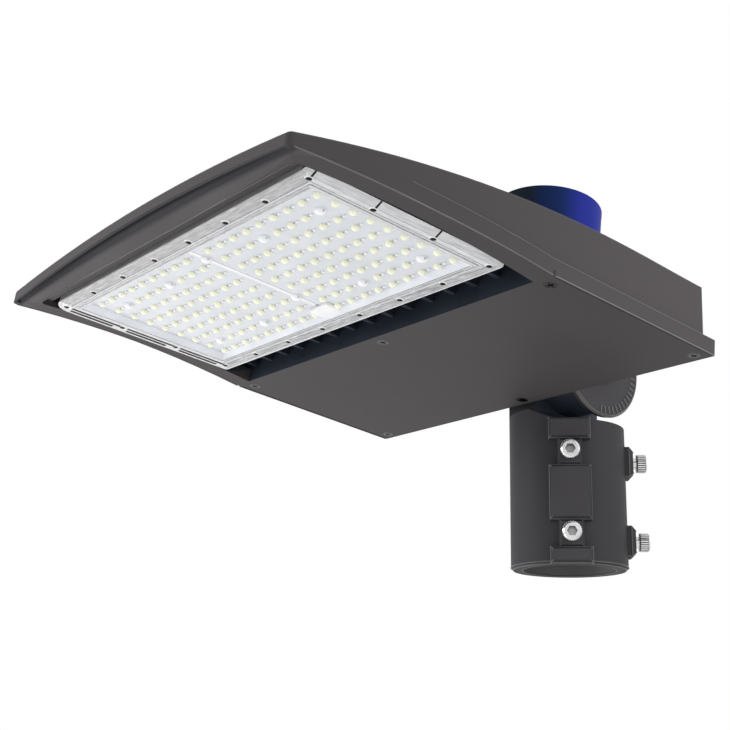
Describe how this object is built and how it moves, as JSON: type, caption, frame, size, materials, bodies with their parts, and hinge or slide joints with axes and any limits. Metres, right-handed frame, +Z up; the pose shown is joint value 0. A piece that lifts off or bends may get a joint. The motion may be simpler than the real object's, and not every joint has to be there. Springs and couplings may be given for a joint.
{
  "type": "parking lot light",
  "caption": "LED area light head with a domed housing, clear lens plate, twist-lock photocell and a tilting slip fitter that clamps over a pole's tenon.",
  "frame": {"origin": "centre of the slip fitter's bore at its mouth, where the pole's tenon enters", "axes": "+Z up along the pole's axis; the head reaches out towards -Y; +X is the side of the tilt scale"},
  "size_m": [0.305, 0.3886, 0.2267],
  "materials": {
    "powder_coat": "matte",
    "sink_metal": "satin",
    "zinc_steel": "satin",
    "seal_rubber": "matte",
    "board_white": "satin",
    "board_green": "satin",
    "led_phosphor": "satin",
    "connector_white": "satin",
    "clear_lens": "gloss",
    "gear_black": "satin",
    "lead_cover": "satin",
    "cell_blue": "satin",
    "cell_window": "gloss",
    "blade_brass": "satin"
  },
  "bodies": {
    "fitter": {"slip_fitter": "powder_coat", "pivot_bolt": "zinc_steel", "pivot_washers": "zinc_steel", "pivot_nut": "zinc_steel"},
    "head": {"arm_gasket": "seal_rubber", "arm_screws": "zinc_steel", "board_connector": "connector_white", "board_screws": "connector_white", "cable_bushing": "seal_rubber", "cover_gasket": "seal_rubber", "cover_screws": "zinc_steel", "device_screws": "zinc_steel", "driver_leads": "lead_cover", "gear_plate": "zinc_steel", "gear_screws": "zinc_steel", "heat_sink": "sink_metal", "heat_sink_screws": "zinc_steel", "housing": "powder_coat", "knuckle_arm": "powder_coat", "lead_grommet": "seal_rubber", "led_board_left": "board_white", "led_board_right": "board_white", "led_driver": "gear_black", "led_leads": "lead_cover", "leds_left": "led_phosphor", "leds_right": "led_phosphor", "lens": "clear_lens", "lens_gasket": "seal_rubber", "lens_screws": "zinc_steel", "photocell_leads": "lead_cover", "photocell_receptacle": "gear_black", "receptacle_gasket": "seal_rubber", "receptacle_screws": "zinc_steel", "service_cover": "powder_coat", "surge_protector": "gear_black", "terminal_block": "gear_black"},
    "photocell": {"photocell_base": "gear_black", "photocell_gasket": "seal_rubber", "photocell_blades": "blade_brass", "photocell_board": "board_green", "photocell_window": "cell_window", "photocell_cap": "cell_blue"},
    "clamp_screw_front_lower": {"clamp_screw_front_lower": "zinc_steel"},
    "clamp_screw_front_upper": {"clamp_screw_front_upper": "zinc_steel"},
    "clamp_screw_side_lower": {"clamp_screw_side_lower": "zinc_steel"},
    "clamp_screw_side_upper": {"clamp_screw_side_upper": "zinc_steel"}
  },
  "joints": [
    {"name": "head_tilt", "type": "hinge", "parent": "fitter", "child": "head", "pos_m": [0, 0, 0.136], "axis": [-1, 0, 0], "range_deg": [-7, 80]},
    {"name": "photocell_twist", "type": "hinge", "parent": "head", "child": "photocell", "pos_m": [0.057, -0.0812, 0.17217], "axis": [0, 0.1219, 0.9925], "range_deg": [0, 25]},
    {"name": "clamp_screw_front_lower_travel", "type": "slide", "parent": "fitter", "child": "clamp_screw_front_lower", "axis": [-0.7071, 0.7071, 0], "range_m": [0, 0.002]},
    {"name": "clamp_screw_front_upper_travel", "type": "slide", "parent": "fitter", "child": "clamp_screw_front_upper", "axis": [-0.7071, 0.7071, 0], "range_m": [0, 0.002]},
    {"name": "clamp_screw_side_lower_travel", "type": "slide", "parent": "fitter", "child": "clamp_screw_side_lower", "axis": [-0.7071, -0.7071, 0], "range_m": [0, 0.002]},
    {"name": "clamp_screw_side_upper_travel", "type": "slide", "parent": "fitter", "child": "clamp_screw_side_upper", "axis": [-0.7071, -0.7071, 0], "range_m": [0, 0.002]}
  ]
}
